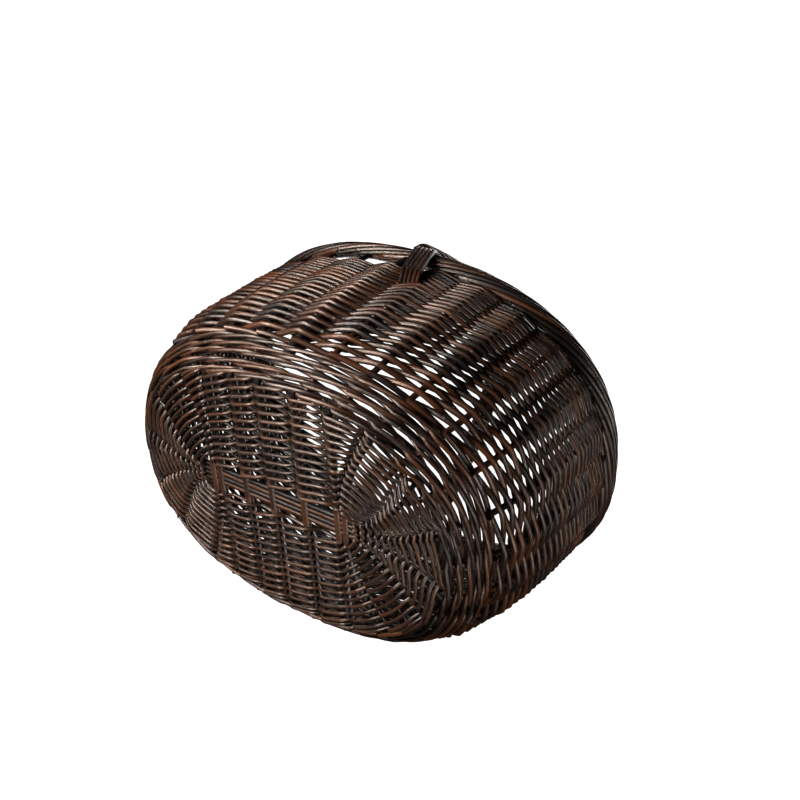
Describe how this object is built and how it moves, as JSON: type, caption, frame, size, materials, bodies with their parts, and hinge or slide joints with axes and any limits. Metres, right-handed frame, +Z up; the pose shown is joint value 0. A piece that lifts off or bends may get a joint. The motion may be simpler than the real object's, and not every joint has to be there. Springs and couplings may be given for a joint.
{
  "type": "wicker shopping basket",
  "caption": "Oval open-topped willow shopping basket with a woven stick base, side weave on upright stakes, a rolled border and a fixed roped bow handle across its short axis.",
  "frame": {"origin": "on the floor under the middle of the oval base", "axes": "+Z up through the opening, +X along the long axis of the oval, +Y along the short axis, in the plane of the bow handle"},
  "size_m": [0.4202, 0.3316, 0.3555],
  "materials": {
    "base_sticks": "dark stained willow, satin",
    "weave_rods": "dark stained willow, satin, with paler rubbed tops",
    "stakes": "dark stained willow, satin",
    "border_rods": "dark stained willow, satin",
    "handle_rods": "dark stained willow, satin"
  },
  "bodies": {
    "root": {"base_cross_stick_1": "base_sticks", "base_cross_stick_2": "base_sticks", "base_cross_stick_3": "base_sticks", "base_cross_stick_4": "base_sticks", "base_cross_stick_5": "base_sticks", "base_cross_stick_6": "base_sticks", "base_cross_stick_7": "base_sticks", "base_long_stick_1": "base_sticks", "base_long_stick_2": "base_sticks", "base_long_stick_3": "base_sticks", "base_long_stick_4": "base_sticks", "base_weave": "weave_rods", "border": "border_rods", "bow_handle": "handle_rods", "foot_wale_1": "weave_rods", "foot_wale_2": "weave_rods", "handle_rope": "handle_rods", "rope_tie_back": "handle_rods", "rope_tie_front": "handle_rods", "side_weave_1": "weave_rods", "side_weave_2": "weave_rods", "side_weave_3": "weave_rods", "side_weave_4": "weave_rods", "side_weave_5": "weave_rods", "side_weave_6": "weave_rods", "stake_01": "stakes", "stake_02": "stakes", "stake_03": "stakes", "stake_04": "stakes", "stake_05": "stakes", "stake_06": "stakes", "stake_07": "stakes", "stake_08": "stakes", "stake_09": "stakes", "stake_10": "stakes", "stake_11": "stakes", "stake_12": "stakes", "stake_13": "stakes", "stake_14": "stakes", "stake_15": "stakes", "stake_16": "stakes", "stake_17": "stakes", "stake_18": "stakes", "stake_19": "stakes", "stake_20": "stakes", "stake_21": "stakes", "stake_22": "stakes", "stake_23": "stakes", "stake_24": "stakes", "stake_25": "stakes", "stake_26": "stakes"}
  },
  "joints": []
}
